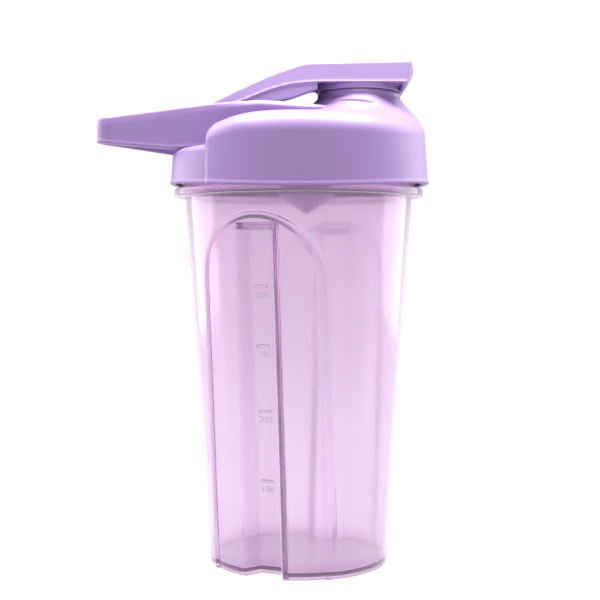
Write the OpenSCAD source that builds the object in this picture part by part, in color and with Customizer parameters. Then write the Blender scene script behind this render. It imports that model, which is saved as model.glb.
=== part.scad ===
// Sports shaker bottle: a tapered cup with two grip panels, a screw lid with a round spout and a
// carry loop, a hinged flip cap with a soft plug, and a short mixing rod under the lid.
// The origin is on the cup's axis, at the plane the base rests on. +X points to the spout.

/* [Cup] */
// Outside radius of the cup at its base
cup_base_r = 34.5; // [34:0.1:35]
// Outside radius of the cup under its flange
cup_top_r = 43.2; // [42.8:0.1:43.4]
// Height of the tapered wall
cup_wall_h = 139; // [136:1:139]
// Thickness of the cup wall
cup_wall = 1.75; // [1.5:0.05:2]
// Thickness of the flange under the lid
flange_h = 3; // [2.5:0.5:3]
// Radius of the flange
flange_r = 47.5; // [46.5:0.1:47.6]
// Height of the rim above the table
rim_z = 153; // [152.6:0.1:153]
// Outside radius of the threaded neck
neck_r = 44; // [43.8:0.1:44.1]

/* [Grip panels] */
// Angle of the first grip panel about the cup's axis
panel_angle = -112.5; // [-135:0.5:-90]
// Half the width of a panel
panel_half_w = 22.5; // [20:0.5:23]
// Height of the top of a panel's arch
panel_top_z = 131; // [125:1:133]
// Depth of a panel below the cup's wall
panel_recess = 1; // [0.6:0.1:1.2]
// Radius of the upright groove in a panel
groove_r = 8.5; // [8:0.1:9]
// Height of the groove's top shelf
groove_top_z = 126.5; // [115:0.5:127]

/* [Lid] */
// Outside radius of the lid at its lower edge
lid_bottom_r = 49.9; // [49.8:0.1:50.2]
// Outside radius of the lid where its shoulder starts
lid_shoulder_r = 48.6; // [48.4:0.1:48.8]
// Height where the shoulder starts
lid_shoulder_z = 159.5; // [159:0.5:160]
// Height of the dome at the lid's axis
dome_top_z = 170.8; // [170:0.1:171]
// Height of the flat deck under the carry loop
deck_z = 157.3; // [157:0.1:158]

/* [Spout] */
// Distance of the spout's centre from the cup's axis
spout_x = 23; // [22:0.5:23]
// Outside radius of the spout at its rim
spout_r = 15.8; // [15.4:0.1:16]
// Height of the spout's rim
spout_z = 178.7; // [178:0.1:178.8]
// Radius of the pouring bore
spout_bore_r = 12.6; // [12.5:0.1:12.8]

/* [Flip cap] */
// Width of the flip cap over the spout
cap_w = 32; // [30:1:32]
// Height of the hinge axis
hinge_z = 169; // [168.5:0.1:169.2]
// Distance of the hinge axis from the cup's axis, towards the loop
hinge_back = 36; // [35.5:0.1:36.5]
// Radius of the hinge pin
pin_r = 1.25; // [1:0.05:1.4]

/* [Carry loop] */
// Distance of the loop's nose from the cup's axis
loop_reach = 77.6; // [74:0.2:78]
// Thickness of the loop's band
loop_band = 3.6; // [3:0.1:4]

/* [Thread] */
// Rise of the lid in one turn
thread_lead = 9; // [8.5:0.1:9]
// Height of one thread lug
thread_t = 1.6; // [1.2:0.1:1.6]

/* [Mixing rod] */
// Radius of the mixing head
mixer_r = 10.8; // [9:0.1:11]
// Height of the tip of the mixing head
mixer_tip_z = 132.9; // [131:0.1:134]

/* [Hidden] */
$fn = 128;
eps = 0.01;
far = 200;

taper = (cup_top_r - cup_base_r) / cup_wall_h;
function cup_r(z) = cup_base_r + taper * z;
flange_z = cup_wall_h;
floor_top_z = 3.2;
floor_under_z = 1.2;
neck_bore_r = neck_r - 2;

groove_lean = atan(taper);
groove_axis_out = 0.95;
tick_z = [34.2, 59.9, 83.8, 105.3];
tick_w = 5;
tick_h = 0.9;
tick_proud = 0.3;

lug_span = 58;
lug_pitch = 66;
lug_crest_r = 46;
lug_flank = 0.35;
cup_helix_z = 144.5;
lid_helix_drop = thread_t + 0.35;
lid_lug_crest_r = 44.5;
lid_lug_root_r = 48.6;

lid_skin = 2;
lid_bottom_z = 140.6;
lid_edge_rise = 3.4;
skirt_slope = (lid_bottom_r - lid_shoulder_r) / (lid_shoulder_z - lid_bottom_z);
thread_bore_r = 47.2;
edge_bore_r = 48.1;
edge_bore_z = 143.4;
land_z = 154.5;
dome_bore_r = 40.4;
seal_rib_r = 41.3;
seal_rib_z = 151.6;
deck_under_z = 155.3;
dome_wall_x = -33;
hinge_pocket_x = -31.6;
hinge_pocket_half_w = 18;
shoulder_round = 7;
dome_edge_r = 30;
dome_edge_z = 168.9;
dome_skin = 2.4;
slope_x = -4;
slope_z = 171.17;
slope_angle = atan(0.28);
socket_gap = 0.3;
socket_h = 16;

loop_nose_r = 5.5;
loop_flank = 0.42;
loop_straight_x = -34.6;
loop_wide_x = -20;
loop_wide_half = 24;
loop_back_round = 38;
loop_front_round = 72;
loop_end_x = 12;
loop_under_z = 157.2;
loop_top_z = 173.4;
loop_nose_under_z = 160.3;
loop_nose_top_z = 168.9;
loop_end_top_z = 172.3;
loop_bend_x = -14;
loop_rise_x = -48;

cap_skin = 2;
cap_top_z = 188;
cap_side_z = 181.6;
cap_rear_half_w = 13;
cap_tip_x = 42.9;
cap_hollow_x = -29;
cap_hollow_end_x = 34;
cap_rib_out = 9;
cap_rib_w = 2;
boss_r = 8;
boss_z = 181.5;
boss_h = 5;
barrel_r = 3.1;
pin_gap = 0.05;
pin_fit = 0.02;
pin_l = 38.6;

plug_z = 174.5;
plug_lead_z = 178.2;
plug_gap = 0.3;
plug_hollow_r = 9;
collar_r = 15;
collar_z = 178.9;
collar_top_z = 181.4;
stud_r = 4;
stud_top_z = 184.3;
stud_gap = 0.05;

gasket_in_r = 41.6;
gasket_out_r = 44.4;
gasket_z = 153.1;
gasket_h = 1.3;

mixer_x = 3;
mixer_rim_z = 143;
mixer_bowl_z = 136;
mixer_skin = 1.6;
stem_r = 3;
socket_r = 5.2;
stem_l = 12;

// A slice of the tapered wall's solid between two heights, set in by a distance
module cup_cone(inset, low, high) {
    translate([0, 0, low])
        cylinder(h = high - low, r1 = cup_r(low) - inset, r2 = cup_r(high) - inset);
}

// Everything outside a panel's sunken face, inside its arched outline
module panel_space(grow) {
    half = panel_half_w + grow;
    spring_z = panel_top_z - panel_half_w;
    difference() {
        union() {
            translate([10, -half, -5]) cube([50, 2 * half, spring_z + 5]);
            translate([10, 0, spring_z]) rotate([0, 90, 0]) cylinder(h = 50, r = half);
        }
        cup_cone(panel_recess + grow, -10, cup_wall_h + 10);
    }
}

// The leaning cylinder of a panel's groove, cut flat at its top shelf
module groove_space(grow) {
    difference() {
        translate([cup_base_r + groove_axis_out, 0, 0]) rotate([0, groove_lean, 0])
            translate([0, 0, -10]) cylinder(h = groove_top_z + 30, r = groove_r + grow);
        translate([-10, -30, groove_top_z + grow]) cube([90, 60, 60]);
    }
}

module grips(grow) {
    for (side = [0, 180]) rotate([0, 0, panel_angle + side]) {
        panel_space(grow);
        groove_space(grow);
    }
}

// The raised volume marks on the floor of the first groove
module volume_ticks() {
    rotate([0, 0, panel_angle]) intersection() {
        translate([cup_base_r + groove_axis_out, 0, 0]) rotate([0, groove_lean, 0]) difference() {
            cylinder(h = groove_top_z, r = groove_r + cup_wall / 2);
            translate([0, 0, -1]) cylinder(h = groove_top_z + 2, r = groove_r - tick_proud);
        }
        for (z = tick_z) translate([20, -tick_w / 2, z]) cube([20, tick_w, tick_h]);
    }
}

// One tilted arc of thread, wide at its root and narrower at its crest
module thread_lug(root_r, crest_r) {
    half = thread_t / 2;
    tilt = asin(thread_lead / (2 * PI * 45));
    rotate([tilt, 0, 0]) rotate_extrude(angle = lug_span, start = -lug_span / 2)
        polygon([[root_r, -half], [crest_r, -half + lug_flank], [crest_r, half - lug_flank],
                 [root_r, half]]);
}

// Both starts of a thread, each a row of lugs along one helix
module thread_lugs(turn, count, z, root_r, crest_r) {
    for (start = [0, 180]) for (i = [0:count - 1]) {
        angle = turn + i * lug_pitch;
        rotate([0, 0, start + angle]) translate([0, 0, z + thread_lead * angle / 360])
            thread_lug(root_r, crest_r);
    }
}

module cup_body() {
    color([0.87, 0.78, 0.9, 0.5]) {
        difference() {
            union() {
                difference() {
                    cup_cone(0, 0, cup_wall_h + eps);
                    grips(0);
                }
                translate([0, 0, flange_z]) cylinder(h = flange_h, r = flange_r);
                translate([0, 0, flange_z]) cylinder(h = rim_z - flange_z, r = neck_r);
                thread_lugs(30, 4, cup_helix_z, neck_r - 1, lug_crest_r);
            }
            difference() {
                union() {
                    cup_cone(cup_wall, floor_top_z, cup_wall_h + eps);
                    translate([0, 0, cup_wall_h - 1])
                        cylinder(h = far, r = cup_r(cup_wall_h - 1) - cup_wall);
                    translate([0, 0, cup_wall_h + 2]) cylinder(h = far, r = neck_bore_r);
                }
                grips(cup_wall);
            }
            difference() {
                cup_cone(cup_wall, -5, floor_under_z);
                grips(cup_wall);
            }
        }
        volume_ticks();
    }
}

// The rounded shoulder from the skirt up to the dome, as points of a quarter curve
function shoulder_points(inset) = [
    for (a = [0:10:60]) [
        lid_shoulder_r - inset - shoulder_round * (1 - cos(a)),
        lid_shoulder_z + shoulder_round * sin(a)]
];

// The shallow crown of the dome, which ends in a small flat at the lid's axis
function crown_z(r) = dome_top_z - (dome_top_z - dome_edge_z) * pow(r / dome_edge_r, 2);
function crown_points(drop) = concat(
    [for (r = [dome_edge_r:-5:5]) [r, crown_z(r) - drop]], [[0, crown_z(5) - drop]]);

// The lid's round outside, from its lower edge to the dome
module lid_round() {
    rotate_extrude() polygon(concat(
        [[0, lid_bottom_z - 1], [lid_bottom_r + skirt_slope, lid_bottom_z - 1]],
        shoulder_points(0), crown_points(0)));
}

// The flare that carries the spout, a round tower with a hollow curve at its foot
module spout_tower(inset) {
    translate([spout_x, 0, 0]) rotate_extrude() polygon([
        [0, 156], [25.4 - inset, 156], [25.4 - inset, 162.9], [23.7 - inset, 167.4],
        [20.9 - inset, 171.2], [18.9 - inset, 174], [17.4 - inset, 176.4],
        [spout_r - inset, spout_z - 0.8], [spout_r - 0.8 - inset, spout_z], [0, spout_z]]);
}

// The upright cylinder wall of the lid, used to trim what stands on it
module lid_wall(inset) {
    translate([0, 0, lid_bottom_z - 1]) cylinder(h = 60, r1 = lid_bottom_r + skirt_slope - inset,
        r2 = lid_bottom_r - 59 * skirt_slope - inset);
}

// Everything above the slope that the dome takes down towards the loop
module slope_space(drop) {
    translate([slope_x, 0, slope_z - drop]) rotate([0, -slope_angle, 0])
        translate([-far, -far / 2, 0]) cube([far, far, far]);
}

// Where the lid is cut down to the deck under the carry loop, with room for the cap's barrel
module deck_space() {
    translate([dome_wall_x - far, -far / 2, deck_z]) cube([far, far, far]);
    translate([hinge_pocket_x - 10, -hinge_pocket_half_w, deck_z])
        cube([10, 2 * hinge_pocket_half_w, far]);
}

// The hollow inside the dome and the spout
module dome_hollow() {
    difference() {
        union() {
            rotate_extrude() polygon(concat(
                [[0, land_z - 5], [dome_bore_r, land_z - 5], [dome_bore_r, 160],
                 [38, 164]], crown_points(dome_skin)));
            intersection() {
                spout_tower(dome_skin);
                lid_wall(6);
            }
        }
        slope_space(dome_skin);
        translate([dome_wall_x - far, -far / 2, deck_under_z]) cube([far, far, far]);
        translate([hinge_pocket_x - 10, -hinge_pocket_half_w - lid_skin, deck_under_z])
            cube([10 + lid_skin, 2 * (hinge_pocket_half_w + lid_skin), far]);
        translate([0, 0, spout_z - lid_skin]) cylinder(h = far, r = far);
    }
}

module lid_shell() {
    color([0.66, 0.55, 0.78]) difference() {
        union() {
            difference() {
                union() {
                    lid_round();
                    intersection() {
                        spout_tower(0);
                        lid_wall(0.05);
                    }
                }
                deck_space();
                slope_space(0);
                translate([0, 0, lid_bottom_z - 10]) cylinder(h = land_z - lid_bottom_z + 10,
                    r = thread_bore_r);
                translate([0, 0, lid_bottom_z - 10])
                    cylinder(h = edge_bore_z - lid_bottom_z + 10, r = edge_bore_r);
                dome_hollow();
            }
            thread_lugs(63, 3, cup_helix_z - lid_helix_drop, lid_lug_root_r,
                lid_lug_crest_r);
            translate([0, 0, seal_rib_z]) difference() {
                cylinder(h = land_z - seal_rib_z + 1, r = seal_rib_r);
                translate([0, 0, -1]) cylinder(h = 10, r = seal_rib_r - 1.8);
            }
            translate([mixer_x, 0, mixer_rim_z + 4])
                cylinder(h = dome_top_z - mixer_rim_z - 5.5, r = socket_r);
        }
        translate([spout_x, 0, 150]) cylinder(h = 60, r = spout_bore_r);
        translate([mixer_x, 0, mixer_rim_z]) cylinder(h = socket_h, r = stem_r + socket_gap);
        lid_edge_cut();
    }
}

// The lower edge hangs lowest at the front and back and rises towards the spout and the loop
module lid_edge_cut() {
    edge_round = (pow(lid_bottom_r, 2) + pow(lid_edge_rise, 2)) / (2 * lid_edge_rise);
    difference() {
        translate([-far / 2, -far / 2, lid_bottom_z - 20])
            cube([far, far, 20 + 2 * lid_edge_rise]);
        translate([0, far / 2, lid_bottom_z + edge_round]) rotate([90, 0, 0])
            cylinder(h = far, r = edge_round, $fn = 360);
    }
}

// Half the loop's outside width at a distance along it: a straight flank from the nose, an arc
// to the widest place, then a longer arc in towards the spout
function arc_half(x, round) =
    loop_wide_half - round + sqrt(pow(round, 2) - pow(x - loop_wide_x, 2));
function loop_half(x) =
    x > loop_wide_x ? arc_half(x, loop_front_round)
    : x > loop_straight_x ? arc_half(x, loop_back_round)
    : arc_half(loop_straight_x, loop_back_round) + loop_flank * (x - loop_straight_x);

// The loop seen from above, set in by a distance
module loop_plan(inset) {
    nose_x = loop_nose_r - loop_reach;
    xs = [for (x = [nose_x + 4:4:loop_end_x]) x];
    side = [for (x = xs) [x, loop_half(x) - inset]];
    back = [for (i = [len(xs) - 1:-1:0]) [xs[i], inset - loop_half(xs[i])]];
    nose = [for (a = [247:-14:113])
        [nose_x + (loop_nose_r - inset) * cos(a), (loop_nose_r - inset) * sin(a)]];
    polygon(concat(side, back, nose));
}

// The loop's band seen from the side
module loop_profile() {
    rotate([90, 0, 0]) translate([0, 0, -40]) linear_extrude(80) polygon([
        [-loop_reach - 1, loop_nose_under_z], [loop_rise_x, loop_under_z],
        [loop_end_x + 1, loop_under_z], [loop_end_x + 1, loop_end_top_z],
        [loop_bend_x, loop_top_z], [-loop_reach - 1, loop_nose_top_z]]);
}

module carry_loop() {
    color([0.7, 0.58, 0.82]) difference() {
        intersection() {
            difference() {
                translate([0, 0, 150]) linear_extrude(30) loop_plan(0);
                translate([0, 0, 140]) linear_extrude(50) loop_plan(loop_band);
            }
            loop_profile();
        }
        // the arms stand on the dome, which they enter by a millimetre
        translate([0, 0, -1]) difference() {
            lid_round();
            slope_space(0);
            translate([dome_wall_x + 1 - far, -far / 2, 0]) cube([far, far, far]);
        }
        hinge_bore(pin_r + pin_fit, pin_l + 0.2);
    }
}

// A cylinder on the hinge axis
module hinge_bore(r, l) {
    translate([-hinge_back, l / 2, hinge_z]) rotate([90, 0, 0]) cylinder(h = l, r = r);
}

// The cap seen from the side: the arch of its arm, its flat head and the lip at its tip
module cap_side() {
    polygon([
        [-hinge_back, hinge_z + barrel_r], [-34.2, 172.9], [-23.7, 178.1], [-11.6, 183.2],
        [-4, 186], [2.7, cap_top_z], [cap_tip_x - 0.9, cap_top_z + 0.9],
        [cap_tip_x, 185.4], [cap_tip_x - 0.8, 182.6], [39.8, collar_z], [38.4, collar_z],
        [38.3, cap_side_z], [7, cap_side_z], [-1.6, 181], [-8.3, 179.6], [-14.9, 177.3],
        [-20.2, 174.7], [-26, 172.6], [-31.6, 171.2], [-33.4, hinge_z - barrel_r / 2]]);
}

// The two ribs under the arm seen from the side
module cap_rib_side() {
    polygon([
        [-31.6, 171.2], [-20, 171.7], [-12, 173.4], [-2.4, 176.7], [7.2, 180.1],
        [7.2, 185], [2.7, 187], [-11.6, 182], [-23.7, 177], [-31.6, 173.5]]);
}

// The hollow under the arm and the head seen from the side
module cap_hollow_side() {
    polygon([
        [cap_hollow_x, 160], [cap_hollow_x, 173], [-22.8, 176], [-10.8, 181.1], [-3.2, 183.8],
        [3.3, 185.8], [cap_hollow_end_x, 186.4], [cap_hollow_end_x, 160]]);
}

// A shape seen from the side, as a solid across the whole cap
module across_cap() {
    rotate([90, 0, 0]) translate([0, 0, -20]) linear_extrude(40) children();
}

// The cap seen from above: narrow at the hinge, full width over the spout
module cap_plan(inset) {
    half = cap_w / 2 - inset;
    rear = cap_rear_half_w - inset;
    polygon([
        [-hinge_back - barrel_r, rear], [-26, rear], [0, half], [cap_tip_x - 4, half],
        [cap_tip_x, half - 3], [cap_tip_x, 3 - half], [cap_tip_x - 4, -half], [0, -half],
        [-26, -rear], [-hinge_back - barrel_r, -rear]]);
}

module flip_cap() {
    color([0.76, 0.64, 0.87]) difference() {
        union() {
            difference() {
                intersection() {
                    across_cap() cap_side();
                    translate([0, 0, 150]) linear_extrude(50) cap_plan(0);
                }
                intersection() {
                    across_cap() cap_hollow_side();
                    translate([0, 0, 150]) linear_extrude(50) cap_plan(cap_skin);
                }
            }
            for (y = [-cap_rib_out, cap_rib_out - cap_rib_w]) intersection() {
                across_cap() cap_rib_side();
                translate([-40, y, 150]) cube([60, cap_rib_w, 50]);
            }
            hinge_bore(barrel_r, 2 * cap_rear_half_w);
            // the boss that holds the soft plug
            translate([spout_x, 0, boss_z]) cylinder(h = boss_h, r = boss_r);
        }
        hinge_bore(pin_r + pin_gap, far);
        translate([spout_x, 0, 170])
            cylinder(h = stud_top_z + 0.2 - 170, r = stud_r + stud_gap);
    }
}

module spout_plug() {
    plug_r = spout_bore_r - plug_gap;
    color([0.5, 0.4, 0.62]) translate([spout_x, 0, 0]) {
        rotate_extrude() polygon([
            [plug_hollow_r, plug_z], [plug_r - 0.8, plug_z], [plug_r, plug_lead_z],
            [plug_r, collar_z], [collar_r, collar_z], [collar_r, collar_top_z],
            [stud_r, collar_top_z], [stud_r, stud_top_z], [0, stud_top_z],
            [0, collar_z + 0.7], [plug_hollow_r, collar_z + 0.7]]);
    }
}

module lid_gasket() {
    color([0.93, 0.9, 0.96]) translate([0, 0, gasket_z]) difference() {
        cylinder(h = gasket_h, r = gasket_out_r);
        translate([0, 0, -1]) cylinder(h = gasket_h + 2, r = gasket_in_r);
    }
}

module hinge_pin() {
    color([0.75, 0.75, 0.78]) hinge_bore(pin_r, pin_l);
}

// The mixing head: an open bowl with a pointed tip under it, on a stem held in the lid's socket
module mixing_rod() {
    bowl_h = mixer_rim_z - mixer_bowl_z;
    bowl = [for (a = [-60:12:0]) [mixer_r * cos(a), mixer_bowl_z + bowl_h * (1 + sin(a))]];
    inside = [for (a = [0:-15:-75])
        [(mixer_r - mixer_skin) * cos(a), mixer_rim_z + (bowl_h - mixer_skin) * sin(a)]];
    stem_top_z = mixer_rim_z + stem_l;
    color([0.5, 0.38, 0.62]) translate([mixer_x, 0, 0]) rotate_extrude() polygon(concat(
        [[0, mixer_tip_z], [0.6, mixer_tip_z], [1.2, mixer_tip_z + 0.5],
         [4, mixer_bowl_z + 0.4]], bowl, inside,
        [[stem_r, mixer_bowl_z + 2], [stem_r, stem_top_z - 1], [stem_r - 1, stem_top_z],
         [0, stem_top_z]]));
}

cup_body();
lid_shell();
carry_loop();
flip_cap();
spout_plug();
lid_gasket();
hinge_pin();
mixing_rod();
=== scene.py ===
"""A shaker bottle: translucent tapered cup, opaque screw lid with spout and carry loop, flip cap.

Shapes are worked out in millimetres in the CAD frame and written to the meshes in metres.
"""
import math

import bpy
import numpy as np
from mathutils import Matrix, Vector

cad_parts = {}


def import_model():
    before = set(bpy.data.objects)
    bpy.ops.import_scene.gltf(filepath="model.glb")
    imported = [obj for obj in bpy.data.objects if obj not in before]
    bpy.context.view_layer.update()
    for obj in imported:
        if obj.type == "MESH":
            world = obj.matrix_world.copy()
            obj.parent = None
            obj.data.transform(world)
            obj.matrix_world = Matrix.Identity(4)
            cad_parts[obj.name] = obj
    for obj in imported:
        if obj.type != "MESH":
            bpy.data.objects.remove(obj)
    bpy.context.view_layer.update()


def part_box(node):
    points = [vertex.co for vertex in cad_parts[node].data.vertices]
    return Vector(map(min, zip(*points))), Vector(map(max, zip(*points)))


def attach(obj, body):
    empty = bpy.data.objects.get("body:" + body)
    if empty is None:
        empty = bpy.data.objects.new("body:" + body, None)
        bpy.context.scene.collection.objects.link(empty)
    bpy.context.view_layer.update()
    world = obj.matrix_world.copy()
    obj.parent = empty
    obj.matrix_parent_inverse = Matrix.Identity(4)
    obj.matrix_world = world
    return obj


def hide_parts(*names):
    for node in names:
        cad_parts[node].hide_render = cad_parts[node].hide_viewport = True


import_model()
MM = 0.001
NEVER = -9.0  # a distance so far inside that it cuts nothing away


def box_mm(node):
    """A CAD node's lowest and highest corners in millimetres."""
    return [np.array(corner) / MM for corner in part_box(node)]


# ---------------------------------------------------------------- sizes, from the frame

CUP_HIGH = box_mm("cup_body")[1]
LID_LOW, LID_HIGH = box_mm("lid_shell")
LOOP_LOW, LOOP_HIGH = box_mm("carry_loop")
CAP_LOW, CAP_HIGH = box_mm("flip_cap")
PLUG_LOW, PLUG_HIGH = box_mm("spout_plug")
SEAL_LOW, SEAL_HIGH = box_mm("lid_gasket")
PIN_LOW, PIN_HIGH = box_mm("hinge_pin")
ROD_LOW, ROD_HIGH = box_mm("mixing_rod")

RIM_Z = CUP_HIGH[2]
FLANGE_R = CUP_HIGH[0]
FLANGE_LOW, FLANGE_TOP = RIM_Z - 14, RIM_Z - 11
CUP_BASE_R, CUP_TOP_R = 34.5, 43.2
CUP_TAPER = (CUP_TOP_R - CUP_BASE_R) / FLANGE_LOW
CUP_WALL = 1.75
NECK_R = 44.0
FLOOR_UNDER, FLOOR_TOP, FLOOR_ROUND = 1.2, 2.4, 1.0

PANEL_ANGLE = math.radians(-112.5)
PANEL_HALF, PANEL_TOP, PANEL_RECESS, PANEL_SOFT = 22.5, 131.0, 1.0, 0.8
GROOVE_R, GROOVE_TOP, GROOVE_CORNER = 8.0, 126.5, 1.8
GROOVE_HALF, GROOVE_DRAFT, GROOVE_DEPTH, GROOVE_SHALLOWS = 5.2, 0.38, 8.4, 0.012
GROOVE_SIGHT = 0.3  # the cosine of the angle past which there is no groove
SHELF_SOFT = 0.7
TICK_HEIGHTS = (34.2, 59.9, 83.8, 105.3)

THREAD_LEAD, THREAD_T, THREAD_Z = 9.0, 1.6, 144.5
LUG_SPAN, LUG_PITCH = 58, 66

LID_BOTTOM_R, LID_SHOULDER_R, SHOULDER_Z = 49.9, 48.6, 159.5
LID_BOTTOM_Z = LID_LOW[2]
SKIRT_SLOPE = (LID_BOTTOM_R - LID_SHOULDER_R) / (SHOULDER_Z - LID_BOTTOM_Z)
EDGE_RISE = 3.4
DECK_Z, DOME_WALL_X = 156.3, -33.0
DOME_Z, DOME_EDGE_Z, DOME_EDGE_R = 170.8, 168.9, 30.0
SLOPE_X, SLOPE_Z, SLOPE = -4.0, 171.17, 0.28
LEVEL_SLOPE = 0.963  # makes a height above the sloping front of the dome a distance
LID_BORE_R, LID_SKIN = 46.6, 2.4
DOME_BORE_R, RIB_HALF, RIB_Z = 40.4, 0.9, 151.6
SOCKET_R, SOCKET_TOP_Z, POST_R, POST_Z = 3.3, 159.0, 5.2, 147.0
LEAD_IN, LEAD_IN_Z, UNDER_DOME_Z, DOME_BACK_X = 0.9, 143.4, 155.3, -29.6
ROOM_FRONT_X, ROOM_BACK_X, ROOM_HALF = -31.6, -42, 18  # the cap's barrel turns here
SPOUT_FILLET, SHOULDER_ROUND, SCALLOP_DEPTH = 7, 6, 0.7
LAND_Z = SEAL_HIGH[2] + 0.1
SPOUT_X = (PLUG_LOW[0] + PLUG_HIGH[0]) / 2
SPOUT_Z, SPOUT_R, SPOUT_BORE_R = LID_HIGH[2], 15.8, 12.6
SPOUT_LIP, SPOUT_SPREAD, MOUTH_LOW_Z = 2.2, 0.75, 160
MIXER_X = 3.0

HINGE = np.array([(PIN_LOW[0] + PIN_HIGH[0]) / 2, 0, (PIN_LOW[2] + PIN_HIGH[2]) / 2])
PIN_R = (PIN_HIGH[2] - PIN_LOW[2]) / 2
PIN_HALF = PIN_HIGH[1]
BARREL_R = 3.1

# ---------------------------------------------------------------- mesh helpers


def solid(name, points, faces, body, slot, material, *nodes):
    """A closed mesh from points in millimetres, its normals outwards, riding on a body."""
    points = np.asarray(points, float)
    mesh = bpy.data.meshes.new(name)
    mesh.from_pydata((points * MM).tolist(), [], [tuple(f) for f in faces])
    mesh.validate()
    mesh.polygons.foreach_set("use_smooth", [True] * len(mesh.polygons))
    piece = bpy.data.objects.new(name, mesh)
    bpy.context.scene.collection.objects.link(piece)
    mesh.materials.append(material)
    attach(piece, body)
    if nodes:
        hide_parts(*nodes)
    return piece


def joined(*parts):
    """Several (points, faces) as one."""
    points, faces, start = [], [], 0
    for p, f in parts:
        points.append(np.asarray(p, float))
        faces += [tuple(int(i) + start for i in face) for face in f]
        start += len(p)
    return np.concatenate(points), faces


def outward(points, faces):
    """The same faces, turned so that the mesh's volume is positive."""
    points = np.asarray(points)
    volume = 0.0
    for face in faces:
        a = points[face[0]]
        for i in range(1, len(face) - 1):
            volume += a @ np.cross(points[face[i]], points[face[i + 1]])
    return faces if volume > 0 else [tuple(reversed(face)) for face in faces]


def smooth(t):
    """0 to 1 with level ends, as t goes from 0 to 1."""
    t = np.clip(t, 0, 1)
    return t * t * (3 - 2 * t)


def round_max(a, b, r):
    """Both shapes' overlap, with its edge rounded to radius r."""
    return np.minimum(np.maximum(a, b), -r) + np.hypot(np.maximum(a + r, 0), np.maximum(b + r, 0))


def round_min(a, b, r):
    """Both shapes joined, with a hollow fillet of radius r between them."""
    return -round_max(-a, -b, r)


def smooth_min(a, b, k):
    """The lower of two heights, blended where they are within k."""
    h = np.clip(0.5 + 0.5 * (b - a) / k, 0, 1)
    return b + (a - b) * h - k * h * (1 - h)


CELL_EDGES = [
    (a, b)
    for a in np.ndindex(2, 2, 2)
    for b in np.ndindex(2, 2, 2)
    if sum(b) - sum(a) == 1 and all(y >= x for x, y in zip(a, b))
]


def implicit(distance, low, high, cell):
    """Points and four-sided faces of the surface where distance(x, y, z) is 0."""
    axes = [np.arange(lo - cell, hi + 2 * cell, cell) for lo, hi in zip(low, high)]
    field = distance(*np.meshgrid(*axes, indexing="ij"))
    size = np.array(field.shape) - 1

    def corner(offset):
        return field[tuple(slice(o, o + n) for o, n in zip(offset, size))]

    within = sum((corner(o) < 0).astype(int) for o in np.ndindex(2, 2, 2))
    active = (within > 0) & (within < 8)
    index = np.full(active.shape, -1)
    index[active] = np.arange(active.sum())
    total, count = np.zeros((active.sum(), 3)), np.zeros(active.sum())
    for a, b in CELL_EDGES:
        va, vb = corner(a)[active], corner(b)[active]
        cross = (va < 0) != (vb < 0)
        t = np.where(cross, va / np.where(cross, va - vb, 1), 0)
        total += cross[:, None] * (np.array(a) + t[:, None] * (np.array(b) - np.array(a)))
        count += cross
    origin = np.array([axis[0] for axis in axes])
    points = origin + (np.argwhere(active) + total / count[:, None]) * cell
    points = on_surface(distance, points, cell)

    faces = []
    for axis in range(3):
        u, v = (axis + 1) % 3, (axis + 2) % 3
        step = np.eye(3, dtype=int)[axis]
        first = field[tuple(slice(0, n) for n in size + 1 - step)] < 0
        second = field[tuple(slice(s, None) for s in step)] < 0
        at = np.argwhere(first != second)
        at = at[(at[:, u] > 0) & (at[:, v] > 0) & (at[:, u] < size[u]) & (at[:, v] < size[v])]
        ring = []
        for du, dv in ((-1, -1), (0, -1), (0, 0), (-1, 0)):
            near = at.copy()
            near[:, u] += du
            near[:, v] += dv
            ring.append(index[tuple(near.T)])
        ring = np.stack(ring, axis=1)
        out = first[tuple(at.T)]
        ring[~out] = ring[~out][:, ::-1]
        faces.append(ring)
    return points, np.concatenate(faces).tolist()


def on_surface(distance, points, cell):
    """The points moved along the slope onto the surface, by at most a cell."""
    h = 0.02 * cell
    for _ in range(4):
        here = distance(*points.T)
        slope = np.stack([
            (distance(*(points + d).T) - distance(*(points - d).T)) / (2 * h)
            for d in np.eye(3) * h
        ], axis=1)
        move = -slope * (here / np.maximum((slope ** 2).sum(1), 0.05))[:, None]
        length = np.linalg.norm(move, axis=1, keepdims=True)
        points = points + move * np.minimum(1, 0.5 * cell / np.maximum(length, 1e-9))
    return points


def turned(rows, thetas, centre=(0, 0)):
    """A closed solid from rings of (radius at each angle, height). The first and last rings are
    closed by a point at the axis."""
    cos, sin = np.cos(thetas), np.sin(thetas)
    points = [[centre[0], centre[1], rows[0][1]]]
    for r, z in rows:
        ring = np.broadcast_to(r, thetas.shape)
        points += np.stack([centre[0] + ring * cos, centre[1] + ring * sin,
                            np.full(len(thetas), float(z))], axis=1).tolist()
    points.append([centre[0], centre[1], rows[-1][1]])
    n, last = len(thetas), len(points) - 1
    faces = [(0, 1 + (j + 1) % n, 1 + j) for j in range(n)]
    for i in range(len(rows) - 1):
        a, b = 1 + i * n, 1 + (i + 1) * n
        faces += [(a + j, a + (j + 1) % n, b + (j + 1) % n, b + j) for j in range(n)]
    end = 1 + (len(rows) - 1) * n
    faces += [(last, end + j, end + (j + 1) % n) for j in range(n)]
    return points, outward(points, faces)


def ring_solid(profile, centre=(0, 0), steps=160):
    """A closed ring from a closed outline of (radius, height)."""
    thetas = np.linspace(0, 2 * math.pi, steps, endpoint=False)
    points = [[centre[0] + r * math.cos(t), centre[1] + r * math.sin(t), z]
              for t in thetas for r, z in profile]
    m = len(profile)
    faces = []
    for i in range(steps):
        for j in range(m):
            a, b = i * m, (i + 1) % steps * m
            faces.append((a + j, b + j, b + (j + 1) % m, a + (j + 1) % m))
    return points, outward(points, faces)


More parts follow.
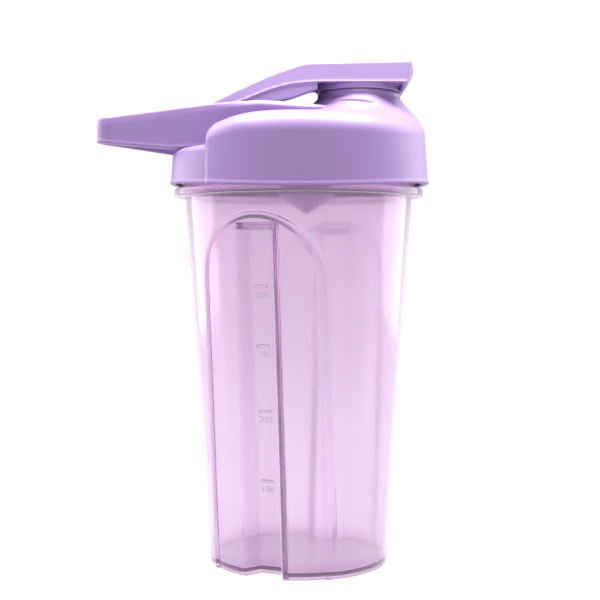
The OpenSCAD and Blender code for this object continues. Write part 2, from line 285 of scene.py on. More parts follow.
def thread_lug(start_deg, z, root_r, crest_r):
    """One arc of thread that climbs with the lead and fades into the wall at both ends."""
    steps, half, flank = 24, THREAD_T / 2, 0.35
    points = []
    for i in range(steps + 1):
        t = i / steps
        angle = math.radians(start_deg + LUG_SPAN * t)
        fade = smooth(min(t, 1 - t) * steps / 3)
        r = root_r + (crest_r - root_r) * (0.4 + 0.6 * fade)
        height = z + THREAD_LEAD * (start_deg + LUG_SPAN * t) / 360
        for radius, dz in ((root_r, -half), (r, flank - half), (r, half - flank), (root_r, half)):
            points.append([radius * math.cos(angle), radius * math.sin(angle), height + dz])
    faces = [(3, 2, 1, 0), tuple(4 * steps + k for k in range(4))]
    for i in range(steps):
        for k in range(4):
            a, b = 4 * i + k, 4 * i + (k + 1) % 4
            faces.append((a, b, b + 4, a + 4))
    return points, outward(points, faces)


def thread(first_deg, count, z, root_r, crest_r):
    """Both starts of a thread."""
    parts = []
    for i in range(count):
        points, faces = thread_lug(first_deg + i * LUG_PITCH - LUG_SPAN / 2, z, root_r, crest_r)
        points = np.array(points)
        parts += [(points, faces), (points * [-1, -1, 1], faces)]
    return parts


# ---------------------------------------------------------------- materials


def node(tree, kind, **inputs):
    """A shader node with some of its sockets set or linked."""
    made = tree.nodes.new(kind)
    for name, value in inputs.items():
        socket = made.inputs[name.replace("_", " ")]
        if isinstance(value, bpy.types.NodeSocket):
            tree.links.new(value, socket)
        else:
            socket.default_value = value
    return made


def mapped(tree, value, low, high):
    """A 0 to 1 value taken to the range low to high."""
    made = node(tree, "ShaderNodeMapRange", Value=value, To_Min=low, To_Max=high)
    return made.outputs["Result"]


def shaded(tree, factor, first, second):
    """A colour between two, by a factor."""
    made = tree.nodes.new("ShaderNodeMix")
    made.data_type = "RGBA"
    tree.links.new(factor, made.inputs[0])
    for socket, value in ((6, first), (7, second)):
        if isinstance(value, bpy.types.NodeSocket):
            tree.links.new(value, made.inputs[socket])
        else:
            made.inputs[socket].default_value = (*value, 1)
    return made.outputs[2]


def times(colour, k):
    """A colour made lighter or darker."""
    return tuple(min(1, c * k) for c in colour)


def plastic(name, colour, rough=0.32, bump=0.06, grain=900, edge_highlight=1.12):
    """Moulded plastic: a slow drift of colour, uneven gloss, a fine moulded grain, and sharp edges
    painted paler as a painted highlight.
    """
    material = bpy.data.materials.new(name)
    material.use_nodes = True
    tree = material.node_tree
    shader = tree.nodes["Principled BSDF"]
    place = tree.nodes.new("ShaderNodeTexCoord").outputs["Object"]
    drift = node(tree, "ShaderNodeTexNoise", Vector=place, Scale=38, Detail=3, Roughness=0.5)
    fine = node(tree, "ShaderNodeTexNoise", Vector=place, Scale=grain, Detail=2)
    flow = node(tree, "ShaderNodeTexNoise", Vector=place, Scale=140, Detail=4, Roughness=0.6)
    base = shaded(tree, drift.outputs["Fac"], times(colour, 0.965), times(colour, 1.035))
    # Painted highlight: sharp edges, found by pointiness, are painted paler to stand in for light
    # catching them.
    edges = node(tree, "ShaderNodeMapRange", Value=tree.nodes.new("ShaderNodeNewGeometry")
                 .outputs["Pointiness"], From_Min=0.52, From_Max=0.62, To_Min=0.0, To_Max=0.6)
    tree.links.new(shaded(tree, edges.outputs["Result"], base, times(colour, edge_highlight)),
                   shader.inputs["Base Color"])
    tree.links.new(mapped(tree, flow.outputs["Fac"], rough - 0.05, rough + 0.05),
                   shader.inputs["Roughness"])
    grained = node(tree, "ShaderNodeBump", Strength=bump, Distance=0.00008,
                   Height=fine.outputs["Fac"])
    tree.links.new(grained.outputs["Normal"], shader.inputs["Normal"])
    shader.inputs["IOR"].default_value = 1.49
    return material


def clear_plastic(name, colour, rough, haze, absorbed=0.0, depth=(1, 1, 1)):
    """Tinted see-through plastic, a little milky. Its colour deepens where it is thick and at the
    foot, and it is painted deeper towards the top as painted shade from the lid."""
    material = bpy.data.materials.new(name)
    material.use_nodes = True
    tree = material.node_tree
    shader = tree.nodes["Principled BSDF"]
    place = tree.nodes.new("ShaderNodeTexCoord").outputs["Object"]
    drift = node(tree, "ShaderNodeTexNoise", Vector=place, Scale=24, Detail=3, Roughness=0.5)
    flow = node(tree, "ShaderNodeTexNoise", Vector=place, Scale=90, Detail=3, Roughness=0.6)
    fine = node(tree, "ShaderNodeTexNoise", Vector=place, Scale=420, Detail=2)
    height = node(tree, "ShaderNodeSeparateXYZ", Vector=place).outputs["Z"]
    # Painted shade: the colour deepens with height towards the lid, standing in for the lid's
    # shadow and reflection on the wall.
    rise = node(tree, "ShaderNodeMapRange", Value=height, From_Min=0.05, From_Max=0.14)
    mottled = shaded(tree, drift.outputs["Fac"], times(colour, 0.985), times(colour, 1.015))
    lid_shade_colour = tuple(c * k for c, k in zip(colour, (0.985, 0.935, 0.985)))
    foot = node(tree, "ShaderNodeMapRange", Value=height, From_Min=0.0065, From_Max=0.004)
    low = tuple(c * k for c, k in zip(colour, (0.93, 0.85, 0.93)))
    graded = shaded(tree, rise.outputs["Result"], mottled, lid_shade_colour)
    tree.links.new(shaded(tree, foot.outputs["Result"], graded, low),
                   shader.inputs["Base Color"])
    tree.links.new(mapped(tree, flow.outputs["Fac"], rough * 0.7, rough * 1.3),
                   shader.inputs["Roughness"])
    ripple = node(tree, "ShaderNodeBump", Strength=0.05, Distance=0.0001,
                  Height=fine.outputs["Fac"])
    tree.links.new(ripple.outputs["Normal"], shader.inputs["Normal"])
    shader.inputs["IOR"].default_value = 1.45
    shader.inputs["Transmission Weight"].default_value = 1 - haze
    shader.inputs["Sheen Weight"].default_value = 0.6
    shader.inputs["Sheen Roughness"].default_value = 0.3
    if absorbed:
        volume = tree.nodes.new("ShaderNodeVolumeAbsorption")
        volume.inputs["Color"].default_value = (*depth, 1)
        volume.inputs["Density"].default_value = absorbed
        tree.links.new(volume.outputs["Volume"], tree.nodes["Material Output"].inputs["Volume"])
    return material


def steel(name):
    """Drawn wire, with fine scratches along it."""
    material = bpy.data.materials.new(name)
    material.use_nodes = True
    tree = material.node_tree
    shader = tree.nodes["Principled BSDF"]
    place = tree.nodes.new("ShaderNodeTexCoord").outputs["Object"]
    stretch = node(tree, "ShaderNodeMapping", Vector=place, Scale=(1, 0.05, 1))
    lines = node(tree, "ShaderNodeTexNoise", Vector=stretch.outputs["Vector"], Scale=2400,
                 Detail=2)
    tree.links.new(shaded(tree, lines.outputs["Fac"], (0.5, 0.5, 0.52), (0.72, 0.72, 0.73)),
                   shader.inputs["Base Color"])
    tree.links.new(mapped(tree, lines.outputs["Fac"], 0.2, 0.4), shader.inputs["Roughness"])
    shader.inputs["Metallic"].default_value = 1.0
    return material


LILAC = (0.228, 0.142, 0.335)
CUP = clear_plastic("cup clear plastic", (0.97, 0.925, 0.975), 0.12, 0.11, 105,
                    (0.6, 0.04, 0.66))
MARKS = clear_plastic("cup marks", (0.84, 0.7, 0.88), 0.35, 0.85)
LID = plastic("lid plastic", LILAC, rough=0.42)
LOOP = plastic("loop plastic", LILAC, rough=0.42)
# Painted light: the cap is the lid's lilac plastic painted lighter, standing in for the light its
# sides catch, with a stronger painted edge highlight.
CAP = plastic("cap plastic", (0.31, 0.215, 0.43), rough=0.42, edge_highlight=1.25)
PLUG = plastic("plug elastomer", (0.42, 0.28, 0.57), rough=0.55, bump=0.15)
SEAL = plastic("seal silicone", (0.75, 0.7, 0.8), rough=0.4)
ROD = plastic("rod plastic", (0.47, 0.24, 0.57), rough=0.4)
STEEL = steel("pin steel")

# ---------------------------------------------------------------- cup


def cup_r(z):
    """The radius of the cup's cone at a height, without its panels."""
    return CUP_BASE_R + CUP_TAPER * z


def grip_radius(phi, z, inset):
    """The cup wall's radius at an angle from a panel's middle, or the inside's when set in."""
    base = cup_r(z) - inset
    t = base * np.sin(phi)
    half, spring = PANEL_HALF + inset, PANEL_TOP - PANEL_HALF  # where the arch springs from
    within = np.where(z < spring, half - np.abs(t), half - np.hypot(t, z - spring))
    within = np.where(np.cos(phi) > 0, within, -1)
    step = np.clip(within / PANEL_SOFT, 0, 1)
    face = base - PANEL_RECESS * (0.35 * smooth(step) + 0.65 * step)

    # The groove has a flat floor and two sloping sides, which open outwards.
    deep = GROOVE_DEPTH - GROOVE_SHALLOWS * z
    floor = (cup_r(z) - deep - inset) / np.maximum(np.cos(phi), GROOVE_SIGHT)
    side = np.abs(t) - (GROOVE_HALF + inset * 0.8)
    slant = floor + np.maximum(side, 0) / GROOVE_DRAFT
    groove = -smooth_min(-floor, -slant, 0.4)
    groove = np.where(np.cos(phi) > GROOVE_SIGHT, groove, base - NEVER)
    past = np.clip(np.abs(t) - (GROOVE_R + inset - GROOVE_CORNER), 0, GROOVE_CORNER)
    top = GROOVE_TOP + inset - GROOVE_CORNER + np.sqrt(GROOVE_CORNER ** 2 - past ** 2)
    depth = (face - smooth_min(face, groove, 0.4)) * smooth((top - z) / SHELF_SOFT + 0.5)
    return face - depth


def panel_angles():
    """Angles from a panel's middle, closest together where the groove and the panel end."""
    quarter = np.concatenate([np.linspace(0, 15, 26), np.linspace(15, 28, 13)[1:],
                              np.linspace(28, 44, 37)[1:], np.linspace(44, 90, 20)[1:]])
    return np.radians(np.concatenate([-quarter[:0:-1], quarter[:-1]]))


def wall_heights(low, high, shelf):
    """Heights up the wall, closest together round the arch and the groove's shelf."""
    steps = np.concatenate([np.arange(low, 103, 2.5), np.arange(103, shelf - 1, 0.8),
                            np.arange(shelf - 1, shelf + 1.2, 0.16),
                            np.arange(shelf + 1.2, PANEL_TOP + 2.9, 0.4),
                            np.arange(PANEL_TOP + 3, high, 1.5)])
    return steps[(steps >= low) & (steps < high)]


def cup_piece():
    """The cup as one turned wall: up the outside, over the rim, and down the inside."""
    phi = np.concatenate([panel_angles(), panel_angles()])
    side = np.concatenate([np.zeros(len(phi) // 2), np.full(len(phi) // 2, math.pi)])
    thetas = PANEL_ANGLE + side + phi

    def wall(z, inset):
        return grip_radius(phi, z, inset)

    skirt = wall(FLOOR_UNDER, CUP_WALL)
    rows = [(skirt * t, FLOOR_UNDER) for t in (0.12, 0.35, 0.6, 0.8, 0.92, 0.975)]
    rows += [(skirt * 0.995, FLOOR_UNDER - 0.1), (wall(0.9, CUP_WALL), 0.8),
             (wall(0.4, CUP_WALL) + 0.08, 0.3), (wall(0, CUP_WALL) + 0.35, 0.05),
             (wall(0, CUP_WALL) + 0.6, 0.0), (wall(0, 0) - 0.55, 0.0),
             (wall(0, 0) - 0.25, 0.06), (wall(0, 0) - 0.06, 0.26)]
    rows += [(wall(z, 0), z) for z in wall_heights(0.6, FLANGE_LOW - 0.8, GROOVE_TOP)]
    rows += [(cup_r(FLANGE_LOW - 0.6) + extra, FLANGE_LOW - drop)
             for extra, drop in ((0, 0.6), (0.08, 0.3), (0.3, 0.08), (0.7, 0))]
    rows += [(FLANGE_R - back, z) for back, z in (
        (0.7, FLANGE_LOW), (0.25, FLANGE_LOW + 0.1), (0.05, FLANGE_LOW + 0.35),
        (0, FLANGE_LOW + 0.8), (0, FLANGE_TOP - 0.8), (0.05, FLANGE_TOP - 0.35),
        (0.25, FLANGE_TOP - 0.1), (0.7, FLANGE_TOP))]
    rows += [(NECK_R + extra, z) for extra, z in (
        (0.7, FLANGE_TOP), (0.3, FLANGE_TOP + 0.1), (0.08, FLANGE_TOP + 0.35),
        (0, FLANGE_TOP + 0.8), (0, FLANGE_TOP + 4), (0, RIM_Z - 0.8), (-0.1, RIM_Z - 0.3),
        (-0.35, RIM_Z - 0.08), (-0.7, RIM_Z), (-1.3, RIM_Z), (-1.65, RIM_Z - 0.08),
        (-1.9, RIM_Z - 0.3), (-2, RIM_Z - 0.8), (-2, FLANGE_TOP + 1))]
    blend = smooth(np.linspace(0, 1, 8))
    top_in = cup_r(FLANGE_LOW) - CUP_WALL
    rows += [(NECK_R - 2 + (top_in - NECK_R + 2) * b, FLANGE_TOP + 1 - 4 * t)
             for b, t in zip(blend[1:], np.linspace(0, 1, 8)[1:])]
    rows += [(wall(z, CUP_WALL), z)
             for z in wall_heights(FLOOR_TOP + FLOOR_ROUND, FLANGE_LOW - 1.5,
                                   GROOVE_TOP + CUP_WALL)[::-1]]
    floor_edge = wall(FLOOR_TOP + FLOOR_ROUND, CUP_WALL)
    rows += [(floor_edge - FLOOR_ROUND * (1 - math.cos(a)),
              FLOOR_TOP + FLOOR_ROUND * (1 - math.sin(a)))
             for a in np.radians(np.arange(10, 91, 10))]
    rows += [((floor_edge - FLOOR_ROUND) * t, FLOOR_TOP)
             for t in (0.97, 0.9, 0.75, 0.55, 0.3, 0.1)]
    lugs = thread(30, 4, THREAD_Z, NECK_R - 0.4, 46)
    points, faces = joined(turned(rows, thetas), *lugs)
    return solid("cup_wall", points, faces, "cup", "cup", CUP, "cup_body")


MARK_MIDDLE = -0.6


def on_groove(u, height, proud):
    """The point on the first groove's floor at a distance across it, a height and a thickness."""
    out = cup_r(height) - GROOVE_DEPTH + GROOVE_SHALLOWS * height + proud
    c, s = math.cos(PANEL_ANGLE), math.sin(PANEL_ANGLE)
    return [out * c - u * s, out * s + u * c, height]


def tick(height):
    """A raised bar on the groove's floor, with sloping sides."""
    points, faces, across = [], [], 12
    for i in range(across + 1):
        u = MARK_MIDDLE + 2.5 * (2 * i / across - 1)
        ends = 0.0 if i in (0, across) else 1.0
        for v, proud in ((-0.1, -0.25), (0.12, 0.28 * ends), (0.78, 0.28 * ends), (1.0, -0.25)):
            points.append(on_groove(u, height + v, proud))
    for i in range(across):
        for k in range(4):
            a, b = 4 * i + k, 4 * i + (k + 1) % 4
            faces.append((a, b, b + 4, a + 4))
    faces += [(3, 2, 1, 0), tuple(4 * across + k for k in range(4))]
    return points, outward(points, faces)


def numeral(value, height):
    """A plain raised number under its tick."""
    curve = bpy.data.curves.new("number", "FONT")
    curve.body, curve.size, curve.align_x = str(value), 3.6, "CENTER"
    curve.extrude, curve.resolution_u = 0.3, 3
    text = bpy.data.objects.new("number", curve)
    bpy.context.scene.collection.objects.link(text)
    bpy.context.view_layer.update()
    mesh = text.evaluated_get(bpy.context.evaluated_depsgraph_get()).to_mesh()
    points = [on_groove(MARK_MIDDLE + v.co.x, height + v.co.y, v.co.z - 0.1)
              for v in mesh.vertices]
    faces = [tuple(p.vertices) for p in mesh.polygons]
    bpy.data.objects.remove(text)
    return points, faces


def marks_piece():
    """Every tick with its number under it."""
    parts = [tick(z) for z in TICK_HEIGHTS]
    parts += [numeral(100 * (i + 1), z - 3.7) for i, z in enumerate(TICK_HEIGHTS)]
    points, faces = joined(*parts)
    return solid("volume_marks", points, faces, "cup", "cup", MARKS)


# ---------------------------------------------------------------- lid


def crown(r):
    """The height of the dome's top at a radius."""
    return DOME_Z - (DOME_Z - DOME_EDGE_Z) * (r / DOME_EDGE_R) ** 2


def spout_flare(x, y, z, inset):
    """Distance to the spout's tower: an upright lip on a cone that spreads into the shoulder."""
    radius = SPOUT_R + SPOUT_SPREAD * np.maximum(SPOUT_Z - SPOUT_LIP - z, 0) - inset
    return (np.hypot(x - SPOUT_X, y) - radius) * 0.83


def dome_slope(x, z):
    """Distance above the plane that lowers the dome towards the loop."""
    return (z - SLOPE_Z - SLOPE * (x - SLOPE_X)) * LEVEL_SLOPE


def scallop(x, y, z):
    """0 to 1 inside the shallow scallop on each side of the spout's tower."""
    window = 1 - ((x - 17) / 13.5) ** 2 - ((z - 171.6) / 2.9) ** 2
    return smooth(window / 0.5) * smooth((np.abs(y) - 6) / 6)


def lid_edge(x):
    """The height of the lid's lower edge, which rises towards the spout and the loop."""
    return LID_BOTTOM_Z + EDGE_RISE * (x / LID_BOTTOM_R) ** 2


def lid_outside(x, y, z):
    """The lid as if it were solid: the skirt, dome and tower, and the lower deck behind them."""
    r = np.hypot(x, y)
    lip = 0.3 * smooth((lid_edge(x) + 1.5 - z) / 0.6)
    skirt = r - (LID_BOTTOM_R - 0.3 + lip - SKIRT_SLOPE * (z - LID_BOTTOM_Z))
    dome = round_max((z - crown(r)) * 0.97, dome_slope(x, z), 1.5)
    spout = round_max(spout_flare(x, y, z, 0), z - SPOUT_Z, 0.8)
    front = round_max(skirt, round_min(dome, spout, SPOUT_FILLET), SHOULDER_ROUND)
    front = round_max(front, DOME_WALL_X - x, 1.2 + 2.8 * smooth((z - 157) / 6))
    back = round_max(skirt + 0.6, z - DECK_Z, 2.5)
    barrel_room = np.maximum(x - ROOM_FRONT_X, ROOM_BACK_X - x)
    barrel_room = np.maximum(barrel_room, np.abs(y) - ROOM_HALF)
    barrel_room = round_max(barrel_room, DECK_Z - z, 0.5)
    front = front + SCALLOP_DEPTH * scallop(x, y, z)
    return np.minimum(round_max(front, -barrel_room, 0.8), back)


def lid_hollow(x, y, z):
    """The space inside the lid: the threaded skirt, the dome, and the spout's bore."""
    r = np.hypot(x, y)
    bore = round_max(r - LID_BORE_R, z - LAND_Z, 0.5)
    edge = round_max(r - LID_BORE_R - LEAD_IN, z - LEAD_IN_Z, 0.3)
    dome = round_max(r - DOME_BORE_R, z - crown(r) + LID_SKIN, 4)
    dome = round_max(dome, dome_slope(x, z + LID_SKIN), 1)
    tower = np.maximum(spout_flare(x, y, z, LID_SKIN), z - SPOUT_Z + 2)
    tower = np.maximum(tower, r - 42)
    high = round_max(np.minimum(dome, tower), -(x - DOME_BACK_X), 1.5)
    low = np.maximum(r - DOME_BORE_R, z - UNDER_DOME_Z)
    rib = np.maximum(np.abs(r - DOME_BORE_R) - RIB_HALF, RIB_Z - z)
    rib = np.maximum(rib, z - LAND_Z - 0.5)
    from_stem = np.hypot(x - MIXER_X, y)
    post = round_max(from_stem - POST_R, POST_Z - z, 0.6)
    space = np.minimum(np.minimum(np.minimum(bore, edge), high), low)
    space = np.maximum(space, -np.minimum(rib, post))
    socket = np.maximum(from_stem - SOCKET_R, z - SOCKET_TOP_Z)
    mouth = round_max(np.hypot(x - SPOUT_X, y) - SPOUT_BORE_R, MOUTH_LOW_Z - z, 0.1)
    return np.minimum(np.minimum(space, socket), mouth)


def lid_distance(x, y, z):
    """The lid's shell, cut off along its curved lower edge."""
    shape = round_max(lid_outside(x, y, z), -lid_hollow(x, y, z), 0.5)
    return round_max(shape, lid_edge(x) - z, 0.4)


def lid_piece(cell):
    """The lid's shell and the two starts of its inner thread."""
    surface = implicit(lid_distance, (-50.5, -50.5, LID_BOTTOM_Z - 1), (50.5, 50.5, SPOUT_Z + 1),
                       cell)
    lugs = thread(63, 3, THREAD_Z - THREAD_T - 0.35, 47.2, 44.5)
    points, faces = joined(surface, *lugs)
    return solid("lid_shell_visual", points, faces, "lid", "lid", LID, "lid_shell")


# ---------------------------------------------------------------- carry loop

LOOP_NOSE_R, LOOP_BAND = 5.5, 3.6
LOOP_NOSE_X = LOOP_LOW[0] + LOOP_NOSE_R + 0.35
WIDE_X, WIDE_HALF = -20.0, 24.0
STRAIGHT_X, FLANK = -34.6, 0.42
LOOP_END_X = LOOP_HIGH[0]
LOOP_TOP_Z, LOOP_TOP_X, LOOP_STRIP = 173.4, -14.0, 1.6


def loop_half(x):
    """Half the loop's outside width: straight flanks from the nose, then two arcs."""
    def arc(at, bend):
        return WIDE_HALF - bend + np.sqrt(np.maximum(bend ** 2 - (at - WIDE_X) ** 2, 1))
    flank = arc(STRAIGHT_X, 38) + FLANK * (x - STRAIGHT_X)
    return np.where(x > WIDE_X, arc(x, 72), np.where(x > STRAIGHT_X, arc(x, 38), flank))


def loop_top(x):
    """The height of the loop's top: it falls a little towards the nose and towards the spout."""
    to_nose, to_spout = np.maximum(LOOP_TOP_X - x, 0), np.maximum(x - LOOP_TOP_X, 0)
    return LOOP_TOP_Z - 0.07 * to_nose - 0.042 * to_spout


def loop_foot(x):
    """The height of the loop's lower edge, which rises towards the nose."""
    return DECK_Z + 3.7 * np.maximum(-48 - x, 0) / 30.6


def loop_distance(x, y, z):
    """The band with its bead, sloping strip, feet, and the hinge pin's holes."""
    lean = np.where(x < STRAIGHT_X, 0.92, 0.97)
    side = (np.abs(y) - loop_half(x)) * lean
    nose = np.hypot(x - LOOP_NOSE_X, y) - LOOP_NOSE_R
    plan = smooth_min(np.where(x > LOOP_NOSE_X, side, nose), nose, 1.0)
    low = loop_foot(x)
    bead = 0.25 * np.exp(-((z - low - 0.7) / 0.45) ** 2)
    plan = plan - bead + 0.25
    thin = LOOP_BAND - 1.6 * smooth((x - LOOP_TOP_X) / 24)
    band = np.maximum(plan, -(plan + thin))
    over = z - loop_top(x)
    band = round_max(band, over, 0.5)
    tilt = 1.2 + 3.0 * smooth((-15 - x) / 30)
    strip = (tilt * plan + over + LOOP_STRIP - 0.4 * smooth(x / 10)) / np.hypot(tilt, 1)
    band = round_max(band, strip, 0.4)
    band = round_max(band, low - z, 0.45)
    band = round_max(band, x - LOOP_END_X + 0.2, 0.6)
    r = np.hypot(x, y)
    lid_top = np.maximum(z - crown(r), z - SLOPE_Z - SLOPE * (x - SLOPE_X)) + 1.6
    keep = np.where(x > DOME_WALL_X + 3, -lid_top, NEVER)
    pin = np.hypot(x - HINGE[0], z - HINGE[2]) - PIN_R - 0.02
    pin = np.maximum(pin, np.abs(y) - PIN_HALF + 0.8)
    return np.maximum(np.maximum(band, keep), -pin)


def loop_piece(cell):
    """The carry loop, with its open middle."""
    points, faces = implicit(loop_distance, LOOP_LOW - 0.5, LOOP_HIGH + 0.5, cell)
    return solid("carry_loop_visual", points, faces, "lid", "lid", LOOP, "carry_loop")


# ---------------------------------------------------------------- flip cap

CAP_TOP, CAP_SIDE, CAP_SKIN = 188.0, 180.7, 2.4
ARM_END_X = 7.0
CAP_LEAN, CORNER_CUT = 0.19, 55.9
BOSS_R, BOSS_LOW_Z, BOSS_TOP_Z, STUD_BORE_R, STUD_TOP_Z = 8, 181.5, 187, 4.05, 184.5
RING_R, RING_HALF, RING_LOW_Z, RING_TOP_Z = 15.3, 0.45, 178.8, 181.6
CREASE = [(-34.4, 169.6), (-31.6, 171.2), (-26, 172.2), (-20.2, 174.2), (-14.9, 176.5),
          (-8.3, 178.7), (-1.6, 180.1), (ARM_END_X, CAP_SIDE), (38.3, CAP_SIDE)]
BELLY = [(-31.6, 171.2), (-20, 171.6), (-12, 172.4), (-2.3, 174.8), (ARM_END_X, 178.1)]
CAP_OUTLINE = [(-34.2, 172.9), (-23.7, 178.1), (-11.6, 183.3), (-4, 186.0), (2.7, CAP_TOP),
               (42.0, CAP_TOP + 0.9), (42.9, 185.4), (42.1, 182.6), (39.8, 178.9),
               (38.4, 178.9), (38.3, CAP_SIDE), (ARM_END_X + 0.05, CAP_SIDE), *BELLY[::-1],
               (-34.4, 169.6)]
CAP_HOLLOW = [(-29, 150), (-29, 172), (-22.8, 174), (-10.8, 179.6), (-3.2, 183), (3.3, 185.4),
              (34, 186.4), (34, 150)]


def along(points, x):
    """The height of a chain of points at x, smoothed over a few millimetres."""
    across, up = zip(*points)
    return sum(np.interp(x + step, across, up) for step in (-4, -2, 0, 2, 4)) / 5


def outline_distance(px, pz, outline):
    """Signed distance to a closed outline, less than 0 inside."""
    best = np.full(np.shape(px), 1e9)
    inside = np.ones(np.shape(px))
    for (ax, az), (bx, bz) in zip(outline, outline[1:] + outline[:1]):
        ex, ez = bx - ax, bz - az
        wx, wz = px - ax, pz - az
        t = np.clip((wx * ex + wz * ez) / (ex * ex + ez * ez), 0, 1)
        best = np.minimum(best, (wx - t * ex) ** 2 + (wz - t * ez) ** 2)
        above, below, left = pz >= az, pz < bz, ex * wz > ez * wx
        flip = (above & below & left) | (~above & ~below & ~left)
        inside = np.where(flip, -inside, inside)
    return inside * np.sqrt(best)


def cap_half(x):
    """Half the cap's width: narrow at the hinge, widest over the spout."""
    return 13 + 3 * smooth((x + 30) / 32)


def belly_edge(x):
    """The far wall's lower edge under the arm, cut higher so that light shows past it."""
    lift = 4.8 * smooth((x + 22) / 8)
    return np.minimum(np.interp(x, *zip(*BELLY)) + lift, along(CREASE, x) + 0.8)


def cap_distance(x, y, z):
    """The cap's shell, its hinge barrel, the plug's boss and the ring round the plug's collar."""
    above = z - along(CREASE, x)
    bead = 0.25 * np.exp(-((above - 0.4) / 0.4) ** 2)
    below = 0.3 * smooth(-above / 0.5) + 0.13 * np.minimum(above, 0)
    side = np.abs(y) - cap_half(x) + CAP_LEAN * np.clip(above, 0, 8) + below - bead
    side = np.maximum(side, (np.abs(y) + x - CORNER_CUT) * 0.707)
    body = round_max(outline_distance(x, z, CAP_OUTLINE), side, 0.5)
    far = (x < ARM_END_X) & (y > 0)
    body = np.maximum(body, np.where(far, belly_edge(x) - z, NEVER) * 0.9)
    inside = np.abs(y) - cap_half(x) + CAP_SKIN
    hollow = round_max(outline_distance(x, z, CAP_HOLLOW), inside, 0.8)
    body = round_max(body, -hollow, 0.5)
    around = np.hypot(x - HINGE[0], z - HINGE[2])
    barrel = round_max(around - BARREL_R, np.abs(y) - 13, 0.5)
    body = round_min(body, barrel, 0.6)
    from_plug = np.hypot(x - SPOUT_X, y)
    boss = np.maximum(from_plug - BOSS_R, np.maximum(BOSS_LOW_Z - z, z - BOSS_TOP_Z))
    ring = np.abs(from_plug - RING_R) - RING_HALF
    ring = round_max(ring, np.maximum(RING_LOW_Z - z, z - RING_TOP_Z), 0.2)
    body = np.minimum(np.minimum(body, boss), ring)
    bore = np.maximum(from_plug - STUD_BORE_R, z - STUD_TOP_Z)
    return np.maximum(np.maximum(body, -bore), -(around - PIN_R - 0.05))


def cap_piece(cell):
    """The flip cap over the spout."""
    points, faces = implicit(cap_distance, CAP_LOW - 0.5, CAP_HIGH + 0.5, cell)
    return solid("flip_cap_visual", points, faces, "cap", "cap", CAP, "flip_cap")


# ---------------------------------------------------------------- small turned pieces


def plug_piece():
    """The soft plug: a stopper, a collar, and a stud up into the cap."""
    top = PLUG_HIGH[2]
    rows = [(2, 174.9), (8.6, 174.9), (9, 174.6), (9.6, 174.5), (11, 174.5), (11.5, 174.8),
            (12.2, 177.8), (12.3, 178.2), (12.3, 178.8), (12.5, 178.9), (14.5, 178.92),
            (14.85, 179.05), (14.95, 179.3), (14.7, 179.5), (14.75, 179.6), (14.98, 179.75),
            (14.75, 179.95), (14.65, 180.1), (14.65, 181.2), (14.4, 181.4), (4.2, 181.4),
            (4, 181.6), (4, top - 0.3), (3.7, top)]
    points, faces = turned(rows, np.linspace(0, 2 * math.pi, 128, endpoint=False), (SPOUT_X, 0))
    return solid("plug_soft", points, faces, "cap", "seal", PLUG, "spout_plug")


def gasket_piece():
    """The flat ring at the top of the lid's thread."""
    low, high = SEAL_LOW[2], SEAL_HIGH[2]
    inner, outer, bevel = 41.6, 44.4, 0.3
    points, faces = ring_solid([
        (inner, low + bevel), (inner + bevel, low), (outer - bevel, low), (outer, low + bevel),
        (outer, high - bevel), (outer - bevel, high), (inner + bevel, high),
        (inner, high - bevel)])
    return solid("gasket_ring", points, faces, "gasket", "gasket", SEAL, "lid_gasket")


def pin_piece():
    """The pin along Y, with chamfered ends."""
    bevel = 0.25
    rows = [(0.3, -PIN_HALF), (PIN_R - bevel, -PIN_HALF), (PIN_R, bevel - PIN_HALF), (PIN_R, 0),
            (PIN_R, PIN_HALF - bevel), (PIN_R - bevel, PIN_HALF), (0.3, PIN_HALF)]
    points, faces = turned(rows, np.linspace(0, 2 * math.pi, 40, endpoint=False))
    points = np.array(points)[:, [0, 2, 1]] + [HINGE[0], 0, HINGE[2]]
    return solid("pin_wire", points, outward(points, faces), "lid", "pin", STEEL, "hinge_pin")


def rod_piece():
    """The mixing head: a bowl with a pointed tip, on the stem that the lid holds."""
    tip, rim, top = ROD_LOW[2], 143.0, ROD_HIGH[2]
    bowl_z, bowl_h, mixer_r, skin = 134.8, 8.2, ROD_HIGH[0] - MIXER_X, 1.6
    rows = [(0.5, tip), (1.0, tip + 0.25), (1.6, tip + 0.8), (3.6, bowl_z)]
    rows += [(mixer_r * math.cos(a), bowl_z + bowl_h * (1 + math.sin(a)))
             for a in np.radians(np.arange(-62, 1, 6))]
    rows += [(mixer_r - 0.4, rim), (mixer_r - 1.2, rim)]
    rows += [((mixer_r - skin) * math.cos(a), rim + (bowl_h - skin) * math.sin(a))
             for a in np.radians(np.arange(-5, -74, -8))]
    rows += [(3.0, bowl_z + 2.4), (3.0, top - 1), (2.6, top - 0.3), (2.0, top)]
    points, faces = turned(rows, np.linspace(0, 2 * math.pi, 96, endpoint=False), (MIXER_X, 0))
    return solid("mixing_head", points, faces, "mixer", "mixer", ROD, "mixing_rod")


# ---------------------------------------------------------------- the object

CELL = 0.55
cup_piece()
marks_piece()
lid_piece(CELL)
loop_piece(CELL * 0.8)
cap_piece(CELL * 0.8)
plug_piece()
gasket_piece()
pin_piece()
rod_piece()

# ---------------------------------------------------------------- floor, light and camera


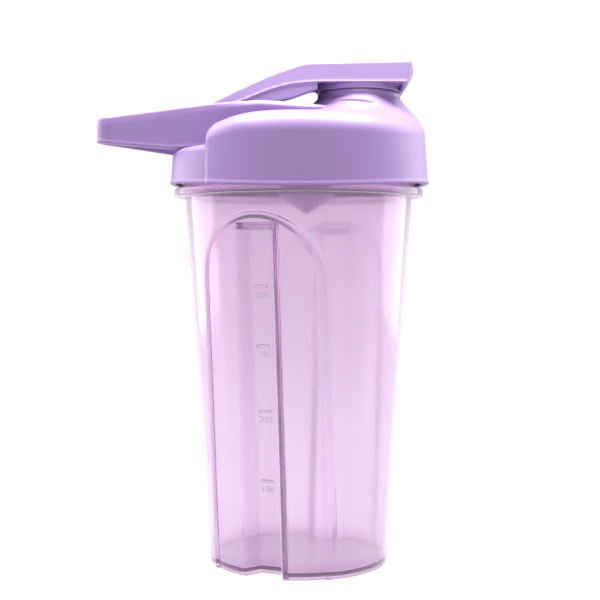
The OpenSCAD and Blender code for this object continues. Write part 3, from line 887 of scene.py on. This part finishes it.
def stage_floor():
    """A plain white floor that lights the object from below."""
    size = 3.0
    mesh = bpy.data.meshes.new("floor")
    mesh.from_pydata([(-size, -size, 0), (size, -size, 0), (size, size, 0), (-size, size, 0)], [],
                     [(0, 1, 2, 3)])
    floor = bpy.data.objects.new("floor", mesh)
    bpy.context.scene.collection.objects.link(floor)
    material = bpy.data.materials.new("floor")
    material.use_nodes = True
    shader = material.node_tree.nodes["Principled BSDF"]
    shader.inputs["Base Color"].default_value = (0.09, 0.09, 0.09, 1)
    shader.inputs["Roughness"].default_value = 0.9
    shader.inputs["Specular IOR Level"].default_value = 0.0
    shader.inputs["Emission Color"].default_value = (1, 1, 1, 1)
    shader.inputs["Emission Strength"].default_value = 0.92
    mesh.materials.append(material)


def softbox(name, place, aim, size, power):
    """A flat area light at a place, pointed at a place."""
    lamp = bpy.data.lights.new(name, "AREA")
    lamp.shape, lamp.size, lamp.size_y, lamp.energy = "RECTANGLE", size[0], size[1], power
    light = bpy.data.objects.new(name, lamp)
    light.location = place
    ray = np.array(aim) - np.array(place)
    light.rotation_euler = Vector(ray).to_track_quat("-Z", "Y").to_euler()
    bpy.context.scene.collection.objects.link(light)


def world(strength):
    """An even white surround."""
    made = bpy.data.worlds.new("studio")
    made.use_nodes = True
    sky = made.node_tree.nodes["Background"]
    sky.inputs["Color"].default_value = (1, 1, 1, 1)
    sky.inputs["Strength"].default_value = strength
    bpy.context.scene.world = made


def camera():
    """At the photograph's viewing distance, just above the middle of the object."""
    data = bpy.data.cameras.new("camera")
    data.lens, data.sensor_width = 68.3, 36.0
    look_down = 2.07
    view = bpy.data.objects.new("camera", data)
    view.location = (0.0005, -0.4384, 0.1156)
    view.rotation_euler = (math.radians(90 - look_down), 0, 0)
    bpy.context.scene.collection.objects.link(view)
    bpy.context.scene.camera = view


stage_floor()
world(1.0)
MIDDLE = (0, 0, 0.13)
softbox("top", (0.0, 0.0, 0.72), (0, 0.0, 0), (0.9, 0.3), 20)
softbox("left", (-0.65, 0.3, 0.3), MIDDLE, (0.6, 0.9), 4)
softbox("right", (0.65, 0.3, 0.3), MIDDLE, (0.6, 0.9), 4)
camera()
bpy.context.scene.view_settings.view_transform = "Standard"
